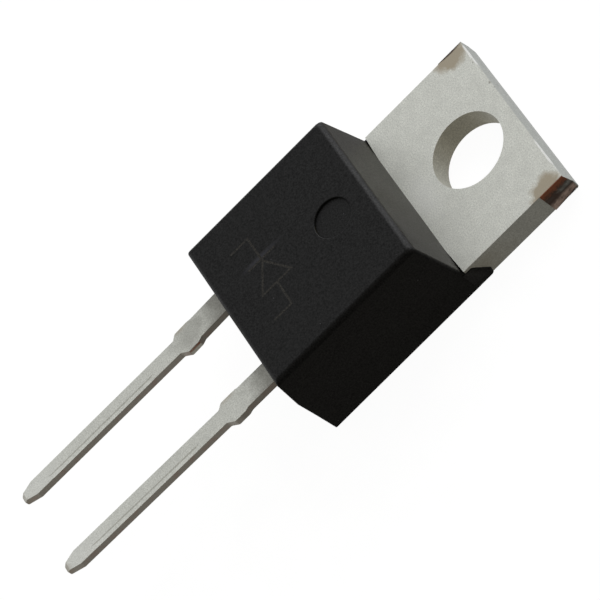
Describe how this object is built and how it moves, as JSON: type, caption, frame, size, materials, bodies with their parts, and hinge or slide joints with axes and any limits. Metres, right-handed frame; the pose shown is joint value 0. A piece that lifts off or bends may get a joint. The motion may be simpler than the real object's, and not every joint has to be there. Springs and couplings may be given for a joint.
{
  "type": "power rectifier diode",
  "caption": "Power rectifier diode in a moulded through-hole package, with a screw tab for a heat sink and flat solder leads.",
  "frame": {"origin": "centre of the mounting hole on the back (heat-sink) face", "axes": "+Z out of the front of the package, +Y towards the free end of the screw tab, leads towards -Y, +X towards the anode lead"},
  "size_m": [0.0104, 0.029, 0.0046],
  "materials": {
    "moulding_compound": "matte",
    "tinned_copper": "satin",
    "silicon": "satin",
    "solder": "satin",
    "bond_wire": "satin"
  },
  "bodies": {
    "root": {"moulded_body": "moulding_compound", "cathode_tab": "tinned_copper", "anode_lead": "tinned_copper", "diode_die": "silicon", "die_attach_solder": "solder", "bond_wire_inner": "bond_wire", "bond_wire_middle": "bond_wire", "bond_wire_outer": "bond_wire"}
  },
  "joints": []
}
